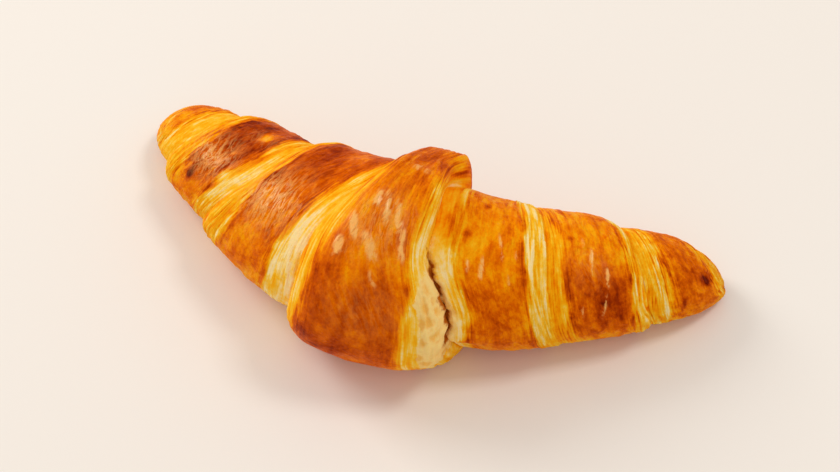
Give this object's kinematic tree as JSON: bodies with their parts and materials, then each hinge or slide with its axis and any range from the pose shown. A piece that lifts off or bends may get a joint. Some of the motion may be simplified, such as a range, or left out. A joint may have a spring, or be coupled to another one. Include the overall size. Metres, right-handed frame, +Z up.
{
  "type": "croissant",
  "caption": "Baked croissant: laminated dough rolled in a spiral, widest at the middle wrap, with both arms bent back to blunt tips and a flat underside.",
  "frame": {"origin": "centre of the bounding box in plan, on the surface that the croissant rests on", "axes": "+X along the roll from the left tip to the right tip, +Y to the back, where both arms bend, +Z up"},
  "size_m": [0.162, 0.0698, 0.0472],
  "materials": {
    "crust": "egg-washed baked crust, golden to deep brown with a soft shine, pale flaky cut edges between the wraps"
  },
  "bodies": {
    "root": {"croissant": "crust"}
  },
  "joints": []
}
